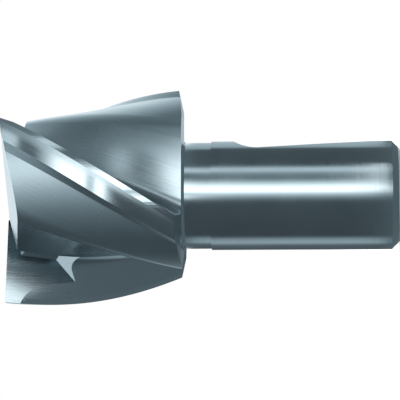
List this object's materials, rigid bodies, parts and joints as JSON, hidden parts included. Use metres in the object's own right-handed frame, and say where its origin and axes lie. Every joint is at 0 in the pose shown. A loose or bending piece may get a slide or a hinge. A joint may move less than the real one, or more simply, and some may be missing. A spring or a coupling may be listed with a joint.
{
  "type": "counterbore",
  "caption": "Counterbore with a helical-toothed head, a pilot bore in its cutting end, a short neck and a straight round shank with a sloped clamping flat.",
  "frame": {"origin": "on the tool axis, in the plane of the shank's flat end", "axes": "+Z along the tool axis from the shank end to the cutting end, +X out through the clamping flat. The teeth cut anticlockwise as seen from +Z, looking down at the cutting end."},
  "size_m": [0.0376, 0.0375, 0.069],
  "materials": {
    "tool_steel": "ground and polished, bare"
  },
  "bodies": {
    "root": {"counterbore": "tool_steel"}
  },
  "joints": []
}
